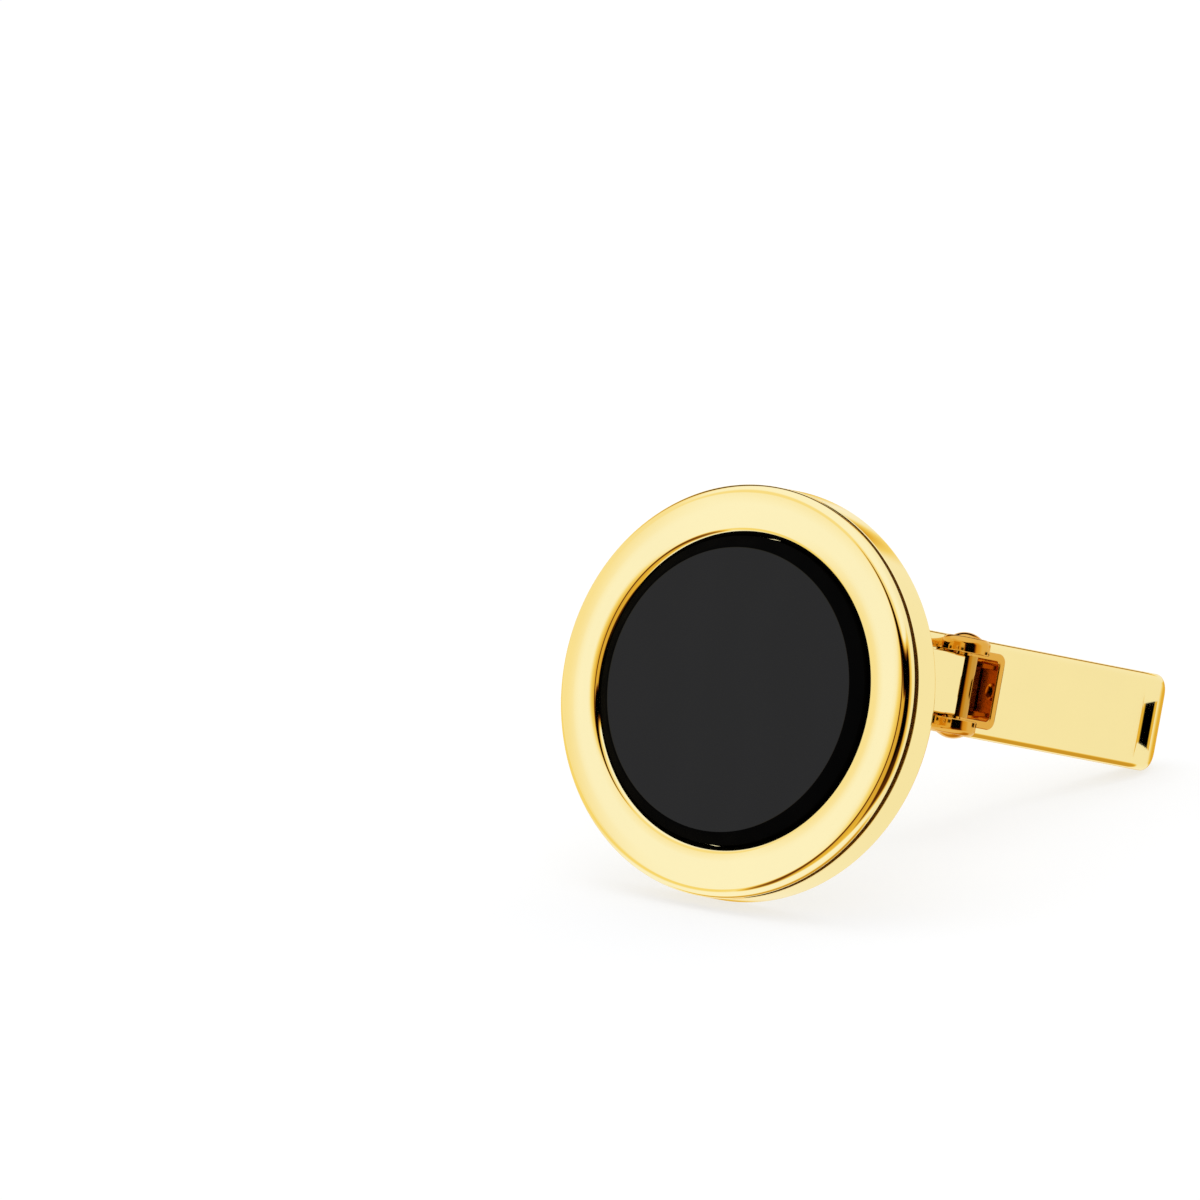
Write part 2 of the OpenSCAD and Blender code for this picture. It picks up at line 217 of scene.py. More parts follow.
class Finishes(bpy.types.PropertyGroup):
    """Colours and polish"""

    bright: colour("Bright gold", "Gold of the ring, the plate and the toggle", (0.985, 0.875, 0.50))
    # Gold of the hinge parts, darkened as painted shade for the hinge and its pocket
    deep: colour("Hinge gold in painted shade", "Gold of the hinge", (0.79, 0.44, 0.085))
    # Gold of the leaf spring, darkened as painted shade deep in the pocket
    spring: colour("Spring in painted shade", "Gold of the leaf spring", (0.72, 0.30, 0.05))
    # Near-black gold inside the fine seam: painted shade for the depth of the groove
    shade: colour("Seam shade", "Gold deep inside the fine seam", (0.09, 0.03, 0.004))
    # Gold of the knuckle, darkened as painted shade, since the knuckle lies between the ears
    knuckle: colour("Knuckle in painted shade", "Gold of the knuckle between the ears", (0.62, 0.33, 0.05))
    onyx: colour("Onyx", "Body colour of the stone", (0.004, 0.004, 0.0045))
    cement: colour("Cement", "Colour of the cement", (0.30, 0.28, 0.24))
    polish: FloatProperty(
        name="Polish", description="Roughness of the polished gold", default=0.025, min=0, max=1
    )
    steps: IntProperty(
        name="Steps", description="Steps round the head", default=256, min=24, max=512
    )


class StageLook(bpy.types.PropertyGroup):
    """Camera and studio"""

    azimuth: FloatProperty(
        name="Camera azimuth",
        description="Turn of the camera round the link",
        default=math.radians(34.45),
        subtype="ANGLE",
    )
    elevation: FloatProperty(
        name="Camera elevation",
        description="Height of the camera over the table",
        default=math.radians(15.02),
        subtype="ANGLE",
    )
    distance: length("Camera distance", "Distance from the camera to the link", 1900)
    aim_side: FloatProperty(
        name="Aim aside",
        description="How far the picture's middle lies left of the stone's",
        default=0.00544,
        unit="LENGTH",
    )
    aim_up: FloatProperty(
        name="Aim up",
        description="How far the picture's middle lies above the stone's",
        default=0.0038,
        unit="LENGTH",
    )
    px_per_mm: FloatProperty(
        name="Scale", description="Pixels per millimetre of the 1200 pixel picture", default=23.53
    )
    floor_shade: FloatProperty(
        name="Floor shade", description="Share of the floor's shadow that shows", default=0.34, min=0, max=1
    )


GROUPS = {
    "cufflink_head": HeadSizes,
    "cufflink_arm": ArmSizes,
    "cufflink_toggle": ToggleSizes,
    "cufflink_hinge": HingeSizes,
    "cufflink_finishes": Finishes,
    "cufflink_stage": StageLook,
}


def millimetres(group):
    """Lengths of a property group, in millimetres."""
    return SimpleNamespace(**{name: getattr(group, name) * 1000 for name in type(group).__annotations__})


# Mesh helpers

# Steps of a rounded corner in an outline, of a dome, and round the pin, the rivet, and the knuckle and ears
CORNER_STEPS, DOME_STEPS, PIN_STEPS, RIVET_STEPS, BARREL_STEPS = 14, 12, 96, 64, 128
# Distances in millimetres within which points are one, lie at a height, and lie on a plane or an axis
DOUBLE, NEAR, ON_PLANE = 0.0004, 1e-4, 1e-5
SHARP_ANGLE = math.radians(40)


def face_of(bm, corners):
    """Face through corner points given as (point, radius), with those corners rounded."""
    verts = [bm.verts.new(point) for point, _ in corners]
    bm.faces.new(verts)
    for vert, (_, radius) in zip(verts, corners):
        if radius:
            bmesh.ops.bevel(
                bm,
                geom=[vert],
                offset=radius,
                offset_type="OFFSET",
                segments=CORNER_STEPS,
                profile=0.5,
                affect="VERTICES",
                material=-1,
            )


def turned(bm, axis, steps):
    """Spins the outline of the faces once round an axis through the origin."""
    axis = Vector(axis)
    bmesh.ops.delete(bm, geom=bm.faces[:], context="FACES_ONLY")
    on_axis = [e for e in bm.edges if all(v.co.cross(axis).length < ON_PLANE for v in e.verts)]
    bmesh.ops.delete(bm, geom=on_axis, context="EDGES")
    bmesh.ops.spin(
        bm,
        geom=bm.verts[:] + bm.edges[:],
        cent=(0, 0, 0),
        axis=axis,
        angle=math.tau,
        steps=steps,
        use_merge=True,
        use_duplicate=False,
    )
    close_up(bm)


def close_up(bm):
    """Merges doubles and turns every face outwards."""
    bmesh.ops.remove_doubles(bm, verts=bm.verts[:], dist=DOUBLE)
    bmesh.ops.dissolve_degenerate(bm, edges=bm.edges[:], dist=DOUBLE / 2)
    bmesh.ops.recalc_face_normals(bm, faces=bm.faces[:])


def soften(bm, offset, segments, angle=50, edges=None):
    """Rounds the edges that are sharper than an angle, in degrees."""
    chosen = [
        e
        for e in (edges or bm.edges)
        if e.is_manifold and math.degrees(e.calc_face_angle(0)) > angle
    ]
    bmesh.ops.bevel(
        bm,
        geom=chosen,
        offset=offset,
        offset_type="OFFSET",
        segments=segments,
        profile=0.5,
        affect="EDGES",
        clamp_overlap=True,
        material=-1,
    )


def box(bm, low, high):
    """Box between two corners."""
    low, high = Vector(low), Vector(high)
    made = bmesh.ops.create_cube(bm, size=1)["verts"]
    bmesh.ops.scale(bm, vec=high - low, verts=made)
    bmesh.ops.translate(bm, vec=(low + high) / 2, verts=made)


def points_in(geom):
    """Vertices among some geometry."""
    return [g for g in geom if isinstance(g, bmesh.types.BMVert)]


def running(edges, axis, least):
    """Edges that run further than a length along an axis."""
    return [e for e in edges if abs((e.verts[0].co - e.verts[1].co)[axis]) > least]


def extruded(bm, way):
    """Gives a flat outline its height."""
    made = points_in(bmesh.ops.extrude_face_region(bm, geom=bm.faces[:])["geom"])
    bmesh.ops.translate(bm, vec=way, verts=made)
    bmesh.ops.recalc_face_normals(bm, faces=bm.faces[:])


def joined(bm, part):
    """Adds another mesh, and frees it."""
    step = bpy.data.meshes.new("step")
    part.to_mesh(step)
    part.free()
    bm.from_mesh(step)
    bpy.data.meshes.remove(step)


def cut_off(bm, point, way):
    """Cuts away what lies beyond a plane, and closes the cut."""
    bmesh.ops.bisect_plane(
        bm,
        geom=bm.verts[:] + bm.edges[:] + bm.faces[:],
        dist=ON_PLANE,
        plane_co=point,
        plane_no=way,
        clear_outer=True,
    )
    bmesh.ops.holes_fill(bm, edges=[e for e in bm.edges if e.is_boundary], sides=0)


def split_at(bm, faces, point, way):
    """Divides some faces along a plane."""
    geom = list({g for f in faces for g in (*f.verts, *f.edges, f)})
    bmesh.ops.bisect_plane(bm, geom=geom, dist=ON_PLANE, plane_co=point, plane_no=way)


def dome(bm, radius, height, base):
    """Outline of a domed head over a base height, as a chain of edges from its tip to its rim."""
    ball = (radius**2 + height**2) / (2 * height)
    tip = bm.verts.new((0, 0, base + height))
    bmesh.ops.spin(
        bm,
        geom=[tip],
        cent=(0, 0, base + height - ball),
        axis=(0, 1, 0),
        angle=math.asin(radius / ball),
        steps=DOME_STEPS,
    )


def piece(bm, name, place, body, material):
    """Makes the finished piece of a node from its mesh and stands it in for the node."""
    bmesh.ops.transform(bm, matrix=place, verts=bm.verts[:])
    mesh = bpy.data.meshes.new(name + "_form")
    bm.to_mesh(mesh)
    bm.free()
    mesh.polygons.foreach_set("use_smooth", [True] * len(mesh.polygons))
    mesh.set_sharp_from_angle(angle=SHARP_ANGLE)
    made = bpy.data.objects.new(name + "_form", mesh)
    bpy.context.scene.collection.objects.link(made)
    mesh.materials.append(material)
    normals = made.modifiers.new("Flat faces stay flat", "WEIGHTED_NORMAL")
    normals.mode = "FACE_AREA"
    normals.weight = 100
    normals.keep_sharp = True
    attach(made, body)
    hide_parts(name)
    return made


# Materials

ONYX_IOR = 1.54


class Nodes:
    """Small help for writing a node tree."""

    def __init__(self, tree):
        self.tree = tree
        tree.nodes.clear()

    def add(self, kind, inputs=(), **settings):
        """Node of a kind, whose inputs are given values or linked to sockets."""
        node = self.tree.nodes.new(kind)
        for name, value in settings.items():
            setattr(node, name, value)
        for key, value in dict(inputs).items():
            if isinstance(value, bpy.types.NodeSocket):
                self.tree.links.new(value, node.inputs[key])
            else:
                node.inputs[key].default_value = value
        return node

    def surface(self, shader):
        """Ends a material's tree in a shader."""
        self.add("ShaderNodeOutputMaterial", {"Surface": shader})

    def place(self):
        """Object coordinates."""
        return self.add("ShaderNodeTexCoord").outputs["Object"]

    def noise(self, place, scale, detail, **more):
        """Noise at a scale per metre."""
        inputs = {"Vector": place, "Scale": scale, "Detail": detail, **more}
        return self.add("ShaderNodeTexNoise", inputs).outputs["Fac"]

    def bump(self, height, strength, distance, **more):
        """Normal that follows a height, with its distance in metres."""
        inputs = {"Height": height, "Strength": strength, "Distance": distance, **more}
        return self.add("ShaderNodeBump", inputs).outputs["Normal"]

    def maths(self, operation, *values):
        """Result of an operation, which is repeated for more than two values."""
        result = values[0]
        for value in values[1:] or (None,):
            inputs = {0: result} if value is None else {0: result, 1: value}
            result = self.add("ShaderNodeMath", inputs, operation=operation).outputs[0]
        return result

    def spread(self, value, low, high, to_low=0.0, to_high=1.0, **settings):
        """Value brought from one range to another."""
        inputs = {"Value": value, "From Min": low, "From Max": high, "To Min": to_low, "To Max": to_high}
        return self.add("ShaderNodeMapRange", inputs, **settings).outputs["Result"]

    def window(self, value, marks):
        """1 between the two inner marks, falling to 0 at the outer ones."""
        sides = [
            self.spread(value, outer, inner, interpolation_type="SMOOTHSTEP")
            for outer, inner in (marks[:2], marks[:1:-1])
        ]
        return self.maths("MULTIPLY", *sides)

    def ramp(self, factor, stops):
        """Colour at a factor between stops, each a position and a colour."""
        node = self.add("ShaderNodeValToRGB", {"Fac": factor})
        elements = node.color_ramp.elements
        while len(elements) < len(stops):
            elements.new(0.5)
        for element, (position, value) in zip(elements, stops):
            element.position = position
            element.color = (*value, 1)
        return node.outputs["Color"]


def new_material(name):
    material = bpy.data.materials.new(name)
    material.use_nodes = True
    return material, Nodes(material.node_tree)


def scaled(rgb, share):
    """Colour with each part multiplied by a share."""
    return [part * share for part in rgb]


def gold(name, rgb, roughness, satin=0.0):
    """Polished gold plate with faint unevenness, fine wiping marks and a slight change of colour."""
    found = bpy.data.materials.get(name)
    if found:
        return found
    material, nodes = new_material(name)
    place = nodes.place()
    cloud = nodes.noise(place, scale=260.0, detail=3.0)
    wiped = nodes.add("ShaderNodeMapping", {"Vector": place, "Scale": (1.0, 1.0, 14.0)}).outputs["Vector"]
    marks = nodes.noise(wiped, scale=900.0, detail=5.0, Roughness=0.65)
    swell = nodes.noise(place, scale=420.0, detail=1.0)
    soft = nodes.bump(swell, strength=0.12, distance=0.00002)
    shader = nodes.add(
        "ShaderNodeBsdfPrincipled",
        {
            "Base Color": nodes.ramp(cloud, [(0.35, scaled(rgb, 0.985)), (0.65, rgb)]),
            "Metallic": 1.0,
            "Roughness": nodes.spread(marks, 0.3, 0.75, roughness, roughness * 1.7 + satin),
            "Normal": nodes.bump(marks, strength=0.03 + satin, distance=0.000003, Normal=soft),
            "Specular Tint": (1.0, 0.96, 0.86, 1.0),
        },
    )
    nodes.surface(shader.outputs["BSDF"])
    return material


def bright_gold(look):
    return gold("polished gold", look.bright, look.polish)


# The pin, bracket and rivet take a darker gold than the toggle only as painted shade for the hinge and its pocket
def hinge_gold_in_shade(look):
    return gold("hinge gold in painted shade", look.deep, look.polish * 2)


# Darker gold on the knuckle: painted shade between the ears
def shaded_knuckle_gold(look):
    return gold("knuckle in painted shade", look.knuckle, roughness=0.05)


# The spring's satin is its finish; its darker colour is painted shade deep in the pocket
def shaded_spring_gold(look):
    return gold("satin spring in painted shade", look.spring, look.polish * 4, satin=0.12)


def onyx_material(look, name, shine, polish, depth=1.0):
    """Black onyx with a deep even body and faint banding."""
    material, nodes = new_material(name)
    place = nodes.place()
    bands = nodes.add(
        "ShaderNodeTexWave",
        {"Vector": place, "Scale": 90.0, "Distortion": 6.0, "Detail": 3.0, "Detail Scale": 1.5},
    ).outputs["Fac"]
    tones = [(0.2, scaled(look.onyx, 0.9 * depth)), (0.9, scaled(look.onyx, depth))]
    haze = nodes.noise(place, scale=1200.0, detail=4.0)
    shader = nodes.add(
        "ShaderNodeBsdfPrincipled",
        {
            "Base Color": nodes.ramp(bands, tones),
            "Roughness": nodes.spread(haze, 0.0, 1.0, polish, polish * 2),
            "IOR": ONYX_IOR,
            "Specular IOR Level": shine,
        },
    )
    nodes.surface(shader.outputs["BSDF"])
    return material


def cement_material(look):
    """Set cement, matt and grainy."""
    material, nodes = new_material("jeweller's cement")
    grain = nodes.noise(nodes.place(), scale=5000.0, detail=4.0)
    shader = nodes.add(
        "ShaderNodeBsdfPrincipled",
        {
            "Base Color": nodes.ramp(grain, [(0.3, scaled(look.cement, 0.7)), (0.7, look.cement)]),
            "Roughness": 0.85,
            "Normal": nodes.bump(grain, strength=0.5, distance=0.00002),
        },
    )
    nodes.surface(shader.outputs["BSDF"])
    return material


# Head

# Fine sizes in millimetres: roundings of small edges, of edges at the back, of the stone's top and of its
# girdle, and the clearance round the back plate
FINE_R, EDGE_R, STONE_R, GIRDLE_R, PLATE_GAP = 0.03, 0.05, 0.1, 0.01, 0.01
# Depth of the rim's seam as a share of its width
SEAM_SHARE = 0.7
# Faces of the stone belong to its flat top if their normal's part towards the back is not above this
TOP_NORMAL = -0.99


class CUFFLINK_OT_bezel_ring(bpy.types.Operator):
    """Turn the gold ring with its flat face, its lip and its rounded rim"""

    bl_idname = "cufflink.bezel_ring"
    bl_label = "Bezel ring"

    def execute(self, context):
        scene = context.scene
        s = millimetres(scene.cufflink_head)
        look = scene.cufflink_finishes
        outer, opening, plate = s.head_d / 2, s.opening_d / 2, s.plate_d / 2
        ledge = s.stone_t - s.stone_proud + s.cement_t
        seam_end, seam_floor = s.seam_back + s.seam_w, outer - s.seam_w * SEAM_SHARE
        corners = [
            ((opening, s.cushion), s.lip_r),
            ((opening + s.cushion_in, 0), s.cushion_r),
            ((outer - s.cushion_out, 0), s.cushion_r),
            ((outer, s.cushion), s.face_r - s.cushion),
            ((outer, s.seam_back), FINE_R),
            ((seam_floor, s.seam_back), 0),
            ((seam_floor, seam_end), 0),
            ((outer, seam_end), FINE_R),
            ((outer, s.head_h), s.rear_r),
            ((plate + PLATE_GAP, s.head_h), EDGE_R),
            ((plate + PLATE_GAP, s.head_h - s.plate_t), 0),
            ((plate - s.shoulder, s.head_h - s.plate_t), 0),
            ((plate - s.shoulder, ledge + s.ledge_t), 0),
            ((opening - s.ledge_w, ledge + s.ledge_t), 0),
            ((opening - s.ledge_w, ledge), 0),
            ((opening, ledge), 0),
        ]
        bm = bmesh.new()
        face_of(bm, [((r, back, 0), radius) for (r, back), radius in corners])
        turned(bm, (0, 1, 0), look.steps)
        # Faces inside the seam take the second material, the seam's painted shade
        for face in bm.faces:
            at = face.calc_center_median()
            sunk = math.hypot(at.x, at.z) < outer - FINE_R
            face.material_index = sunk and s.seam_back < at.y < seam_end
        ring = piece(bm, "bezel_ring", LINK, "head", bright_gold(look))
        ring.data.materials.append(gold("seam shade", look.shade, roughness=0.4))
        return {"FINISHED"}


class CUFFLINK_OT_onyx_disc(bpy.types.Operator):
    """Turn the black stone with its flat top and its chamfer"""

    bl_idname = "cufflink.onyx_disc"
    bl_label = "Onyx disc"

    def execute(self, context):
        scene = context.scene
        s = millimetres(scene.cufflink_head)
        look = scene.cufflink_finishes
        girdle, back = s.stone_d / 2, s.stone_t - s.stone_proud
        bm = bmesh.new()
        section = [
            ((0, -s.stone_proud, 0), 0),
            ((s.stone_top_d / 2, -s.stone_proud, 0), STONE_R),
            ((girdle, 0, 0), GIRDLE_R),
            ((girdle, back, 0), EDGE_R),
            ((0, back, 0), 0),
        ]
        face_of(bm, section)
        turned(bm, (0, 1, 0), look.steps)
        for face in bm.faces:
            face.material_index = face.normal.y > TOP_NORMAL
        polished = onyx_material(look, "black onyx", shine=0.21, polish=0.03)
        stone = piece(bm, "onyx_disc", LINK, "head", polished)
        # All faces but the flat top take a rougher, darker copy of the onyx that hardly reflects: painted shade
        # that keeps the chamfer black
        edge = onyx_material(look, "onyx sides in painted shade", shine=0.02, polish=0.55, depth=0.3)
        stone.data.materials.append(edge)
        return {"FINISHED"}


class CUFFLINK_OT_stone_cement(bpy.types.Operator):
    """Give the thin cement ring its grainy finish"""

    bl_idname = "cufflink.stone_cement"
    bl_label = "Stone cement"

    def execute(self, context):
        node = frame["nodes"]["stone_cement"]
        node.data.materials.clear()
        node.data.materials.append(cement_material(context.scene.cufflink_finishes))
        return {"FINISHED"}


class CUFFLINK_OT_back_plate(bpy.types.Operator):
    """Turn the plate that closes the head"""

    bl_idname = "cufflink.back_plate"
    bl_label = "Back plate"

    def execute(self, context):
        scene = context.scene
        s = millimetres(scene.cufflink_head)
        look = scene.cufflink_finishes
        front = s.head_h - s.plate_t
        bm = bmesh.new()
        section = [
            ((0, front, 0), 0),
            ((s.plate_d / 2, front, 0), FINE_R),
            ((s.plate_d / 2, s.head_h, 0), EDGE_R),
            ((0, s.head_h, 0), 0),
        ]
        face_of(bm, section)
        turned(bm, (0, 1, 0), look.steps)
        piece(bm, "back_plate", LINK, "head", bright_gold(look))
        return {"FINISHED"}


# Arm

# Fine sizes in millimetres: how far the foot is let into the plate, and the roundings on foot and knuckle
FOOT_SINK, FOOT_R, KNUCKLE_R = 0.05, 0.12, 0.04
# Steps along each bow of the arm
BOW_STEPS = 48


class CUFFLINK_OT_arm(bpy.types.Operator):
    """Bend the arm between its two bows and set it on its foot"""

    bl_idname = "cufflink.arm"
    bl_label = "Arm"

    def execute(self, context):
        scene = context.scene
        s = millimetres(scene.cufflink_arm)
        look = scene.cufflink_finishes
        head_h = scene.cufflink_head.head_h * 1000
        side = Vector((math.cos(LEAN), -math.sin(LEAN), 0))
        low = PIN_AT.z - s.width / 2
        bm = bmesh.new()
        for way in (1, -1):
            tip = Vector((PIN_AT.x, PIN_AT.y, low)) + side * way * s.tip_t / 2
            root = Vector((way * s.root_t / 2, head_h, low))
            reach = root - tip
            centre = tip + side * (reach.length_squared / (2 * reach.dot(side)))
            start, end = tip - centre, root - centre
            whole = math.atan2(start.cross(end).z, start.dot(end))
            cut = math.copysign(s.tip_back / start.length, whole)
            first = bm.verts.new(centre + Matrix.Rotation(cut, 3, "Z") @ start)
            bmesh.ops.spin(
                bm, geom=[first], cent=centre, axis=(0, 0, 1), angle=whole - cut, steps=BOW_STEPS
            )
        bmesh.ops.bridge_loops(bm, edges=bm.edges[:])
        extruded(bm, (0, 0, s.width))
        soften(bm, s.edge_r, segments=6)
        foot = bmesh.new()
        half = Vector((s.root_t / 2 + s.foot_lip, 0, s.width / 2 + s.foot_lip))
        base = Vector((0, head_h, PIN_AT.z))
        box(foot, base - half - Vector((0, FOOT_SINK, 0)), base + half + Vector((0, s.foot_t, 0)))
        soften(foot, s.foot_lip, segments=10, edges=running(foot.edges, 1, s.foot_t / 2))
        rim = [e for e in foot.edges if all(v.co.y > head_h + s.foot_t - NEAR for v in e.verts)]
        soften(foot, FOOT_R, segments=6, edges=rim)
        joined(bm, foot)
        piece(bm, "arm", LINK, "head", bright_gold(look))
        return {"FINISHED"}


class CUFFLINK_OT_arm_knuckle(bpy.types.Operator):
    """Cut the two flats on the knuckle at the arm's end"""

    bl_idname = "cufflink.arm_knuckle"
    bl_label = "Arm knuckle"

    def execute(self, context):
        scene = context.scene
        s = millimetres(scene.cufflink_arm)
        look = scene.cufflink_finishes
        bm = bmesh.new()
        bmesh.ops.create_cone(
            bm,
            cap_ends=True,
            cap_tris=False,
            segments=BARREL_STEPS,
            radius1=s.knuckle_r,
            radius2=s.knuckle_r,
            depth=s.width,
        )
        cut_off(bm, (-s.flat_reach, 0, 0), (-1, 0, 0))
        cut_off(bm, (0, s.flat_reach, 0), (0, 1, 0))
        soften(bm, KNUCKLE_R, segments=4, angle=25)
        piece(bm, "arm_knuckle", TOGGLE, "head", shaded_knuckle_gold(look))
        return {"FINISHED"}


# Hinge

# Fine sizes in millimetres: roundings at the bracket's open end, at the pocket's mouth, along the rim and on
# the ears, the floor's distance inside the rim, the bends of the spring, and the rivet's lift over the floor
BRACKET_END_R, POCKET_MOUTH_R, RIM_R, EAR_EDGE_R = 0.25, 0.08, 0.16, 0.06
FLOOR_INSET, BEND_R, RIVET_LIFT = 0.02, 0.22, 0.01
# Radius of the rivet's neck as a share of its head's
RIVET_NECK = 0.55


class CUFFLINK_OT_hinge_pin(bpy.types.Operator):
    """Turn the pin with its two domed heads"""

    bl_idname = "cufflink.hinge_pin"
    bl_label = "Hinge pin"

    def execute(self, context):
        scene = context.scene
        s = millimetres(scene.cufflink_hinge)
        half = millimetres(scene.cufflink_toggle).width / 2
        bm = bmesh.new()
        dome(bm, s.head_r, s.head_h, half)
        rim = max(bm.verts, key=lambda v: v.co.x)
        neck = bm.verts.new((s.pin_r, 0, half))
        waist = bm.verts.new((s.pin_r, 0, 0))
        bm.edges.new((rim, neck))
        bm.edges.new((neck, waist))
        bmesh.ops.mirror(bm, geom=bm.verts[:] + bm.edges[:], axis="Z", merge_dist=DOUBLE)
        turned(bm, (0, 0, 1), PIN_STEPS)
        piece(bm, "hinge_pin", TOGGLE, "toggle", hinge_gold_in_shade(scene.cufflink_finishes))
        return {"FINISHED"}


class CUFFLINK_OT_hinge_bracket(bpy.types.Operator):
    """Raise the bracket's rim round its pocket and round its two ears"""

    bl_idname = "cufflink.hinge_bracket"
    bl_label = "Hinge bracket"

    def execute(self, context):
        scene = context.scene
        s = millimetres(scene.cufflink_hinge)
        toggle = millimetres(scene.cufflink_toggle)
        look = scene.cufflink_finishes
        face = -toggle.pin_height
        floor = face - s.floor_d
        outer_v, inner_v = s.pocket_half + s.wall, s.pocket_half
        outer_t, inner_t, start = s.pocket_out + s.wall, s.pocket_out, -s.pocket_in
        rim = [
            ((start, -outer_v), BRACKET_END_R),
            ((outer_t, -outer_v), s.corner_r),
            ((outer_t, outer_v), s.corner_r),
            ((start, outer_v), BRACKET_END_R),
            ((start, inner_v), POCKET_MOUTH_R),
            ((inner_t, inner_v), s.corner_r / 2),
            ((inner_t, -inner_v), s.corner_r / 2),
            ((start, -inner_v), POCKET_MOUTH_R),
        ]
        bm = bmesh.new()
        face_of(bm, [((floor - s.floor_t / 2, t, v), radius) for (t, v), radius in rim])
        extruded(bm, (s.floor_d + s.rim_h + s.floor_t / 2, 0, 0))
        top = [e for e in bm.edges if all(v.co.x > face + s.rim_h - NEAR for v in e.verts)]
        soften(bm, RIM_R, segments=8, edges=top)
        # The floor ends a little inside the rim, so that no two faces lie in one plane
        plate = bmesh.new()
        plate_v = outer_v - FLOOR_INSET
        box(plate, (floor - s.floor_t, start, -plate_v), (floor, outer_t - FLOOR_INSET, plate_v))
        joined(bm, plate)
        half = toggle.width / 2
        for way in (1, -1):
            ear = bmesh.new()
            section = [
                ((0, 0, s.ear_in), 0),
                ((s.ear_r, 0, s.ear_in), EAR_EDGE_R),
                ((s.ear_r, 0, half), s.ear_round),
                ((0, 0, half), 0),
            ]
            face_of(ear, section)
            turned(ear, (0, 0, 1), BARREL_STEPS)
            bmesh.ops.scale(ear, vec=(1, 1, way), verts=ear.verts[:])
            bmesh.ops.recalc_face_normals(ear, faces=ear.faces[:])
            joined(bm, ear)
        piece(bm, "hinge_bracket", TOGGLE, "toggle", hinge_gold_in_shade(look))
        return {"FINISHED"}


class CUFFLINK_OT_leaf_spring(bpy.types.Operator):
    """Fold the leaf spring from its foot on the floor up to its pad"""

    bl_idname = "cufflink.leaf_spring"
    bl_label = "Leaf spring"

    def execute(self, context):
        scene = context.scene
        s = millimetres(scene.cufflink_hinge)
        arm = millimetres(scene.cufflink_arm)
        toggle = millimetres(scene.cufflink_toggle)
        pad = -(arm.flat_reach + s.pad_gap + s.spring_t / 2)
        low = -toggle.pin_height - s.floor_d + s.spring_t / 2
        path = [
            (pad, -s.pad_half - s.spring_t / 2),
            (pad, s.pad_half),
            (low, s.spring_foot),
            (low, s.pocket_out - s.spring_t / 2),
        ]
        bm = bmesh.new()
        verts = [bm.verts.new((n, t, -s.spring_w / 2)) for n, t in path]
        for a, b in zip(verts, verts[1:]):
            bm.edges.new((a, b))
        made = points_in(bmesh.ops.extrude_edge_only(bm, edges=bm.edges[:])["geom"])
        bmesh.ops.translate(bm, vec=(0, 0, s.spring_w), verts=made)
        bmesh.ops.recalc_face_normals(bm, faces=bm.faces[:])
        soften(bm, BEND_R, segments=8, angle=20)
        bmesh.ops.solidify(bm, geom=bm.faces[:], thickness=s.spring_t)
        bmesh.ops.recalc_face_normals(bm, faces=bm.faces[:])
        # The wall grows to one side only, so the strip is moved until its foot lies on the floor
        foot = [v.co.x for v in bm.verts if v.co.y > s.spring_foot + 2 * BEND_R]
        bmesh.ops.translate(bm, vec=(low - sum(foot) / len(foot), 0, 0), verts=bm.verts[:])
        soften(bm, FINE_R, segments=3, angle=60)
        piece(bm, "leaf_spring", TOGGLE, "toggle", shaded_spring_gold(scene.cufflink_finishes))
        return {"FINISHED"}


class CUFFLINK_OT_spring_rivet(bpy.types.Operator):
    """Turn the small domed rivet that holds the spring"""

    bl_idname = "cufflink.spring_rivet"
    bl_label = "Spring rivet"

    def execute(self, context):
        scene = context.scene
        s = millimetres(scene.cufflink_hinge)
        floor = -scene.cufflink_toggle.pin_height * 1000 - s.floor_d
        bm = bmesh.new()
        dome(bm, s.rivet_r, s.rivet_h - s.spring_t, s.spring_t)
        rim = max(bm.verts, key=lambda v: v.co.x)
        foot = bm.verts.new((s.rivet_r * RIVET_NECK, 0, s.spring_t))
        base = bm.verts.new((s.rivet_r * RIVET_NECK, 0, RIVET_LIFT))
        tip = bm.verts.new((0, 0, RIVET_LIFT))
        for a, b in ((rim, foot), (foot, base), (base, tip)):
            bm.edges.new((a, b))
        turned(bm, (0, 0, 1), RIVET_STEPS)
        upright = Matrix.Rotation(math.pi / 2, 3, "Y")
        bmesh.ops.rotate(bm, cent=(0, 0, 0), matrix=upright, verts=bm.verts[:])
        bmesh.ops.translate(bm, vec=(floor, s.rivet_out, 0), verts=bm.verts[:])
        piece(bm, "spring_rivet", TOGGLE, "toggle", hinge_gold_in_shade(scene.cufflink_finishes))
        return {"FINISHED"}


# Toggle

# Steps along each curved end of the bar, and round each of its long edges
END_STEPS, EDGE_STEPS = 44, 12


def bar_section(s, t):
    """Top, bottom and half width of the bar at a distance along it, and the length of its curved ends."""
    face = -s.pin_height
    back = face - s.thickness
    half = s.width / 2
    end = s.out if t > 0 else s.inner
    left = end - abs(t)
    drop = s.nose_r + s.back_r - s.thickness
    reach = s.back_r + math.sqrt((s.nose_r - s.back_r) ** 2 - drop**2)
    into = reach - left
    top, bottom = face, back
    if into > 0:
        on_nose = face - s.nose_r + math.sqrt(max(s.nose_r**2 - into**2, 0))
        on_back = back + s.back_r + math.sqrt(max(s.back_r**2 - (s.back_r - left) ** 2, 0))
        meet = (reach - s.back_r) * s.nose_r / (s.nose_r - s.back_r)
        top = on_nose if into < meet else on_back
    if left < s.back_r:
        bottom = back + s.back_r - math.sqrt(max(s.back_r**2 - (s.back_r - left) ** 2, 0))
    if left < s.corner_r:
        half += math.sqrt(max(s.corner_r**2 - (s.corner_r - left) ** 2, 0)) - s.corner_r
    return top, bottom, half, reach


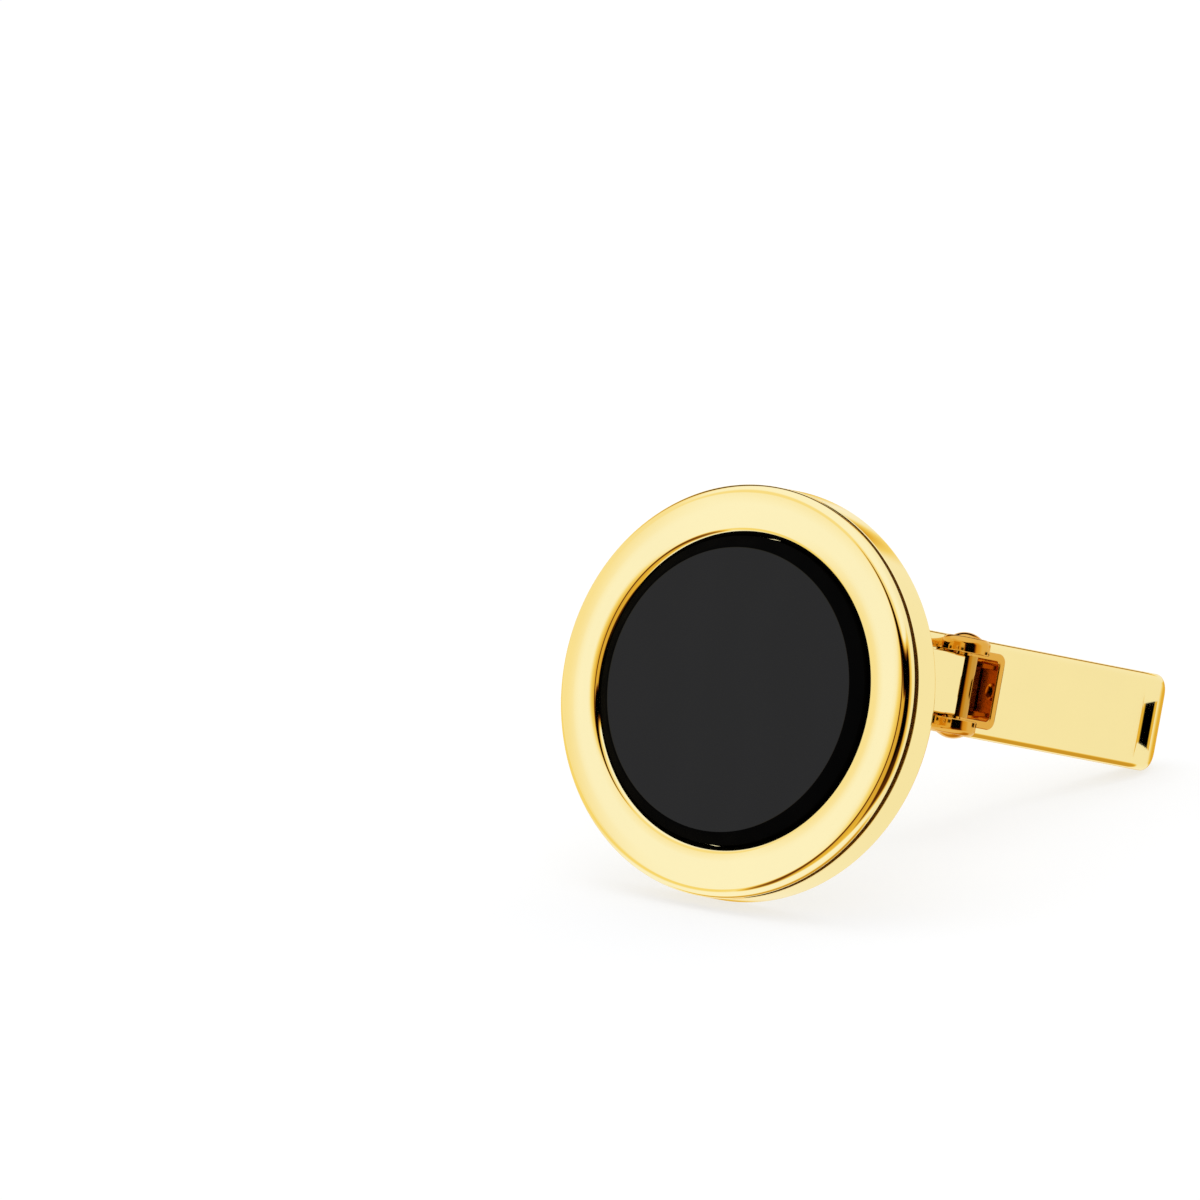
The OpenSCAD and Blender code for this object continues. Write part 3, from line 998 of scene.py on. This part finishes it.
def bar(s):
    """Whole closed bar: a grid wrapped round its section, station by station."""
    reach = bar_section(s, s.out)[3]
    ends = [reach * math.sin(math.pi / 2 * k / END_STEPS) for k in range(END_STEPS + 1)]
    stations = [-s.inner + reach - e for e in reversed(ends)] + [s.out - reach + e for e in ends]
    loop = 4 * (EDGE_STEPS + 1)
    bm = bmesh.new()
    bmesh.ops.create_grid(bm, x_segments=len(stations) - 1, y_segments=loop, size=1)
    for vert in bm.verts:
        i = round((vert.co.x + 1) / 2 * (len(stations) - 1))
        j = round((vert.co.y + 1) / 2 * loop) % loop
        t = stations[i]
        top, bottom, half, _ = bar_section(s, t)
        share = min(1, (top - bottom) / (s.face_r + s.back_r))
        face_r, back_r = s.face_r * share, s.back_r * share
        corner, step = divmod(j, EDGE_STEPS + 1)
        turn = math.pi / 2 * step / EDGE_STEPS
        c, w = math.cos(turn), math.sin(turn)
        if corner == 0:
            n, v = top - face_r + face_r * c, half - face_r + face_r * w
        elif corner == 1:
            n, v = bottom + back_r - back_r * w, half - back_r + back_r * c
        elif corner == 2:
            n, v = bottom + back_r - back_r * c, back_r - half - back_r * w
        else:
            n, v = top - face_r + face_r * w, face_r - half - face_r * c
        vert.co = (n, t, v)
    close_up(bm)
    return bm


class CUFFLINK_OT_toggle_shell(bpy.types.Operator):
    """Form the toggle's front shell with the recess for the bracket"""

    bl_idname = "cufflink.toggle_shell"
    bl_label = "Toggle shell"

    def execute(self, context):
        scene = context.scene
        s = millimetres(scene.cufflink_toggle)
        hinge = millimetres(scene.cufflink_hinge)
        face = -s.pin_height
        split = face - s.thickness + s.cover_t
        outer_v, outer_t = hinge.pocket_half + hinge.wall, hinge.pocket_out + hinge.wall
        start = -hinge.pocket_in
        bm = bar(s)
        cut_off(bm, (split, 0, 0), (-1, 0, 0))
        split_at(bm, bm.faces[:], (0, start, 0), (0, 1, 0))
        split_at(bm, bm.faces[:], (0, outer_t, 0), (0, 1, 0))

        def over_window():
            return [
                f
                for f in bm.faces
                if all(v.co.x > face - NEAR for v in f.verts)
                and start < f.calc_center_median().y < outer_t
            ]

        split_at(bm, over_window(), (0, 0, outer_v), (0, 0, 1))
        split_at(bm, over_window(), (0, 0, -outer_v), (0, 0, 1))
        window = [f for f in over_window() if abs(f.calc_center_median().z) < outer_v]
        sunk = points_in(bmesh.ops.extrude_face_region(bm, geom=window)["geom"])
        bmesh.ops.translate(bm, vec=(-s.pocket_depth, 0, 0), verts=sunk)
        bmesh.ops.delete(bm, geom=window, context="FACES")
        upright = running({e for v in sunk for e in v.link_edges}, 0, s.pocket_depth / 2)
        soften(bm, hinge.corner_r, segments=10, edges=upright)
        bmesh.ops.recalc_face_normals(bm, faces=bm.faces[:])
        polished = bright_gold(scene.cufflink_finishes)
        piece(bm, "toggle_shell", TOGGLE, "toggle", polished)
        return {"FINISHED"}


class CUFFLINK_OT_toggle_cover(bpy.types.Operator):
    """Form the toggle's back cover"""

    bl_idname = "cufflink.toggle_cover"
    bl_label = "Toggle cover"

    def execute(self, context):
        scene = context.scene
        s = millimetres(scene.cufflink_toggle)
        bm = bar(s)
        split = -s.pin_height - s.thickness + s.cover_t - s.seam
        cut_off(bm, (split, 0, 0), (1, 0, 0))
        bmesh.ops.recalc_face_normals(bm, faces=bm.faces[:])
        piece(bm, "toggle_cover", TOGGLE, "toggle", bright_gold(scene.cufflink_finishes))
        return {"FINISHED"}


# Stage

WHITE, WARM, BLACK = (1.0, 1.0, 1.0), (0.81, 0.50, 0.065), (0.0, 0.0, 0.0)
FLOOR_COLOUR = (0.94, 0.955, 0.98)
FLOOR_CORNERS = ((-1, -1, 0), (1, 1, 0))

# Lamp, in metres and watts
SOFT_BOX_AT = (-0.04, 0.0, 0.3)
SOFT_BOX_SIZE = (0.25, 0.2)
SOFT_BOX_POWER = 0.16
SOFT_BOX_COLOUR = (1.0, 0.98, 0.94)

# Camera, with its sensor in millimetres, the picture in pixels and the clipping in metres
SENSOR_MM = 36
PICTURE_PX = 1200
CLIP = (0.01, 10)

# Black card: its corners in metres before it is set up, the azimuth and elevation at which it stands, the
# point of the toggle in millimetres that it faces, its distance from there in metres, and its colours from
# one end to the other
CARD_CORNERS = ((-0.011, -0.0015, 0), (0.0125, 0.0017, 0))
CARD_WAY = (54, -16)
CARD_OVER = (-0.72, 12.54, 0)
CARD_DISTANCE = 0.03
CARD_STOPS = ((0.18, WARM), (0.24, BLACK), (0.8, BLACK), (0.86, WARM))

# The shades below lie over ways: by their azimuth in degrees, and by their part along X (side), Y (back) and
# Z (height). A window is 1 between its two inner marks and falls to 0 at the outer ones.

# Dark gap beside the camera, by azimuth: 0 is white, 1 is black
GAP = (
    (-117, 0.0),
    (-111, 0.85),
    (-104, 0.9),
    (-97, 0.5),
    (-66, 0.5),
    (-56, 1.0),
    (-16, 1.0),
    (-3, 0.4),
    (14, 0.2),
    (26, 0.0),
)
# Dark head over the gap's warm middle
GAP_HEAD = {"azimuth": (-118, -108, -30, -12), "height": (0.34, 0.44, 2, 3)}
# Window of heights in which the gap lies
GAP_HEIGHTS = (-0.6, -0.35, 0.56, 0.68)
# Range of heights below which the gap keeps only a share of its shade, and that share
GAP_FOOT = (-0.3, 0.05, 0.88)
# Windows and strength of the other shades
SHADES = (
    # Upper edge of the backdrop
    ({"azimuth": (92, 110, 140, 172), "height": (0.1, 0.3, 0.5, 0.62)}, 1.0),
    # Faint and warm, over the camera
    ({"azimuth": (-168, -140, -70, -45), "height": (0.34, 0.5, 0.7, 0.86)}, 0.16),
    # Faint and warm, low on the left
    ({"side": (-3, -2, -0.5, -0.2), "height": (-0.6, -0.35, -0.12, 0.04)}, 0.2),
    # Fainter, level on the left
    ({"side": (-3, -2, -0.68, -0.56), "height": (-0.2, 0.0, 0.5, 0.7)}, 0.13),
    # Painted shadow on the floor under the toggle, for the gold to mirror while the floor itself is hidden from
    # reflections
    ({"back": (-0.1, 0.2, 0.52, 0.6), "height": (-3, -0.99, -0.85, -0.7)}, 0.55),
    # Warm, behind the link along the camera's line
    (
        {
            "side": (-0.75, -0.6, -0.1, 0.25),
            "back": (0.6, 0.75, 2, 3),
            "height": (-0.5, -0.38, -0.2, -0.08),
        },
        0.45,
    ),
)
# Colours through which a reflection runs from no shade to full shade
SHINE_STOPS = (
    (0.0, WHITE),
    (0.2, (0.95, 0.77, 0.30)),
    (0.45, WARM),
    (0.65, (0.47, 0.23, 0.04)),
    (0.82, (0.15, 0.04, 0.005)),
    (1.0, BLACK),
)
# Azimuth and elevation of the far wall's middle, its colour, and the cosine from which that colour is full
FAR_WALL = (50, -15)
FAR_WALL_COLOUR = (0.945, 0.89, 0.72)
FAR_WALL_FULL = 0.9


def plane(name, low, high, material):
    """Level rectangle of the stage."""
    bm = bmesh.new()
    bmesh.ops.create_grid(bm, x_segments=1, y_segments=1, size=0.5)
    low, high = Vector(low), Vector(high)
    bmesh.ops.scale(bm, vec=(high.x - low.x, high.y - low.y, 1), verts=bm.verts[:])
    bmesh.ops.translate(bm, vec=(low + high) / 2, verts=bm.verts[:])
    mesh = bpy.data.meshes.new(name)
    bm.to_mesh(mesh)
    bm.free()
    made = bpy.data.objects.new(name, mesh)
    mesh.materials.append(material)
    bpy.context.scene.collection.objects.link(made)
    return made


def floor_material(shade):
    """White floor that keeps part of the shadow under the link."""
    material, nodes = new_material("white floor")
    matt = nodes.add("ShaderNodeBsdfDiffuse", {"Color": (*FLOOR_COLOUR, 1)})
    glow = nodes.add("ShaderNodeEmission", {"Color": (*WHITE, 1), "Strength": 1.0})
    seen = nodes.add("ShaderNodeLightPath").outputs["Is Camera Ray"]
    mixed = nodes.add(
        "ShaderNodeMixShader",
        {
            "Fac": nodes.maths("MULTIPLY", seen, 1 - shade),
            1: matt.outputs["BSDF"],
            2: glow.outputs["Emission"],
        },
    )
    nodes.surface(mixed.outputs["Shader"])
    return material


def card_material():
    """Black card with warm edges."""
    material, nodes = new_material("black card")
    place = nodes.add("ShaderNodeTexCoord").outputs["Generated"]
    across = nodes.add("ShaderNodeSeparateXYZ", {"Vector": place}).outputs["X"]
    tone = nodes.ramp(across, CARD_STOPS)
    glow = nodes.add("ShaderNodeEmission", {"Color": tone, "Strength": 1.0})
    nodes.surface(glow.outputs["Emission"])
    return material


def way_of(azimuth, elevation):
    """Direction at an azimuth from +X and an elevation, in degrees."""
    a, e = math.radians(azimuth), math.radians(elevation)
    return Vector((math.cos(a) * math.cos(e), math.sin(a) * math.cos(e), math.sin(e)))


def studio_world(world):
    """White studio whose polished reflections run through warm edges into a few dark parts."""
    world.use_nodes = True
    nodes = Nodes(world.node_tree)
    way = nodes.add("ShaderNodeTexCoord").outputs["Generated"]
    parts = nodes.add("ShaderNodeSeparateXYZ", {"Vector": way}).outputs
    side, back, height = parts["X"], parts["Y"], parts["Z"]
    azimuth = nodes.maths("DEGREES", nodes.maths("ARCTAN2", back, side))
    measures = {"azimuth": azimuth, "side": side, "back": back, "height": height}

    def shade_over(windows, strength):
        """Product of windows, at a strength."""
        sides = [nodes.window(measures[name], marks) for name, marks in windows.items()]
        return nodes.maths("MULTIPLY", *sides, strength)

    share_of_turn = nodes.maths("ADD", nodes.maths("MULTIPLY", azimuth, 1 / 360), 0.5)
    gap = nodes.ramp(share_of_turn, [(degrees / 360 + 0.5, (shade,) * 3) for degrees, shade in GAP])
    dark = nodes.maths(
        "MULTIPLY",
        nodes.maths("MAXIMUM", gap, shade_over(GAP_HEAD, 1.0)),
        nodes.window(height, GAP_HEIGHTS),
        nodes.spread(height, *GAP_FOOT),
    )
    for windows, strength in SHADES:
        dark = nodes.maths("MAXIMUM", dark, shade_over(windows, strength))
    shine = nodes.ramp(dark, SHINE_STOPS)

    far = nodes.add(
        "ShaderNodeVectorMath", {0: way, 1: way_of(*FAR_WALL)}, operation="DOT_PRODUCT"
    ).outputs["Value"]
    wall = nodes.ramp(nodes.spread(far, 0.0, FAR_WALL_FULL), [(0.0, WHITE), (1.0, FAR_WALL_COLOUR)])
    shine = nodes.add("ShaderNodeVectorMath", {0: shine, 1: wall}, operation="MULTIPLY").outputs["Vector"]
    path = nodes.add("ShaderNodeLightPath")
    # The mix node lists one set of sockets for each kind of data, so the colour ones are linked by place
    seen = nodes.add("ShaderNodeMix", {0: path.outputs["Is Glossy Ray"]}, data_type="RGBA")
    seen.inputs[6].default_value = (*WHITE, 1)
    nodes.tree.links.new(shine, seen.inputs[7])
    light = nodes.add("ShaderNodeBackground", {"Color": seen.outputs[2], "Strength": 1.0})
    nodes.add("ShaderNodeOutputWorld", {"Surface": light.outputs["Background"]})


def set_card():
    """Small black card beyond the toggle's end, seen only in the polished gold."""
    toward = way_of(*CARD_WAY)
    toward = (toward - PIN_UP * toward.dot(PIN_UP)).normalized()
    middle_at = TOGGLE @ Vector(CARD_OVER) + toward * CARD_DISTANCE
    card = plane("black card", *CARD_CORNERS, card_material())
    turn = placed(toward.cross(PIN_UP), PIN_UP, -toward, middle_at)
    card.matrix_world = turn @ Matrix.Scale(1000, 4)
    card.visible_camera = False
    card.visible_diffuse = False
    card.visible_shadow = False
    card.visible_transmission = False


def set_soft_box(scene):
    """Lamp over the link that gives the floor its soft shadow."""
    lamp = bpy.data.lights.new("soft box", "AREA")
    lamp.shape = "RECTANGLE"
    lamp.size, lamp.size_y = SOFT_BOX_SIZE
    lamp.energy = SOFT_BOX_POWER
    lamp.color = SOFT_BOX_COLOUR
    soft_box = bpy.data.objects.new("soft box", lamp)
    soft_box.location = SOFT_BOX_AT
    soft_box.rotation_euler = (-soft_box.location).to_track_quat("-Z", "Y").to_euler()
    soft_box.visible_glossy = False
    scene.collection.objects.link(soft_box)


def set_camera(scene, look):
    """Camera of the photograph, far away behind a long lens."""
    back = Vector(
        (
            math.sin(look.azimuth) * math.cos(look.elevation),
            -math.cos(look.azimuth) * math.cos(look.elevation),
            math.sin(look.elevation),
        )
    )
    turn = (-back).to_track_quat("-Z", "Y")
    right, up = turn @ Vector((1, 0, 0)), turn @ Vector((0, 1, 0))
    stone = LINK @ Vector((0, -scene.cufflink_head.stone_proud * 1000, 0))
    aim = stone - right * look.aim_side + up * look.aim_up
    view = bpy.data.cameras.new("camera")
    view.sensor_width = SENSOR_MM
    view.lens = look.px_per_mm * look.distance * 1000 / PICTURE_PX * view.sensor_width
    view.clip_start, view.clip_end = CLIP
    camera = bpy.data.objects.new("camera", view)
    camera.location = aim + back * look.distance
    camera.rotation_euler = turn.to_euler()
    scene.collection.objects.link(camera)
    scene.camera = camera


class CUFFLINK_OT_stage(bpy.types.Operator):
    """Set the white floor, the studio, its card and lamp, and the camera of the photograph"""

    bl_idname = "cufflink.stage"
    bl_label = "Stage"

    def execute(self, context):
        scene = context.scene
        look = scene.cufflink_stage
        scene.view_settings.view_transform = "Standard"
        floor = plane("floor", *FLOOR_CORNERS, floor_material(look.floor_shade))
        floor.visible_glossy = False
        world = bpy.data.worlds.new("studio")
        scene.world = world
        studio_world(world)
        set_card()
        set_soft_box(scene)
        set_camera(scene, look)
        return {"FINISHED"}


OPERATORS = (
    CUFFLINK_OT_bezel_ring,
    CUFFLINK_OT_onyx_disc,
    CUFFLINK_OT_stone_cement,
    CUFFLINK_OT_back_plate,
    CUFFLINK_OT_arm,
    CUFFLINK_OT_arm_knuckle,
    CUFFLINK_OT_hinge_pin,
    CUFFLINK_OT_hinge_bracket,
    CUFFLINK_OT_toggle_shell,
    CUFFLINK_OT_toggle_cover,
    CUFFLINK_OT_leaf_spring,
    CUFFLINK_OT_spring_rivet,
    CUFFLINK_OT_stage,
)


class CUFFLINK_PT_panel(bpy.types.Panel):
    """Sizes, finishes and building steps of the cufflink"""

    bl_idname = "CUFFLINK_PT_panel"
    bl_label = "Cufflink"
    bl_space_type = "VIEW_3D"
    bl_region_type = "UI"
    bl_category = "Cufflink"

    def draw(self, context):
        for name, group in GROUPS.items():
            box_of = self.layout.box()
            box_of.label(text=group.__doc__)
            for prop in group.__annotations__:
                box_of.prop(getattr(context.scene, name), prop)
        for operator in OPERATORS:
            self.layout.operator(operator.bl_idname)


def register():
    for name, group in GROUPS.items():
        bpy.utils.register_class(group)
        setattr(bpy.types.Scene, name, PointerProperty(type=group))
    for cls in (*OPERATORS, CUFFLINK_PT_panel):
        bpy.utils.register_class(cls)


def unregister():
    for cls in reversed((*OPERATORS, CUFFLINK_PT_panel)):
        bpy.utils.unregister_class(cls)
    for name, group in reversed(list(GROUPS.items())):
        delattr(bpy.types.Scene, name)
        bpy.utils.unregister_class(group)


def main():
    register()
    bpy.ops.cufflink.bezel_ring()
    bpy.ops.cufflink.onyx_disc()
    bpy.ops.cufflink.stone_cement()
    bpy.ops.cufflink.back_plate()
    bpy.ops.cufflink.arm()
    bpy.ops.cufflink.arm_knuckle()
    bpy.ops.cufflink.hinge_pin()
    bpy.ops.cufflink.hinge_bracket()
    bpy.ops.cufflink.toggle_shell()
    bpy.ops.cufflink.toggle_cover()
    bpy.ops.cufflink.leaf_spring()
    bpy.ops.cufflink.spring_rivet()
    bpy.ops.cufflink.stage()


if __name__ == "__main__":
    main()
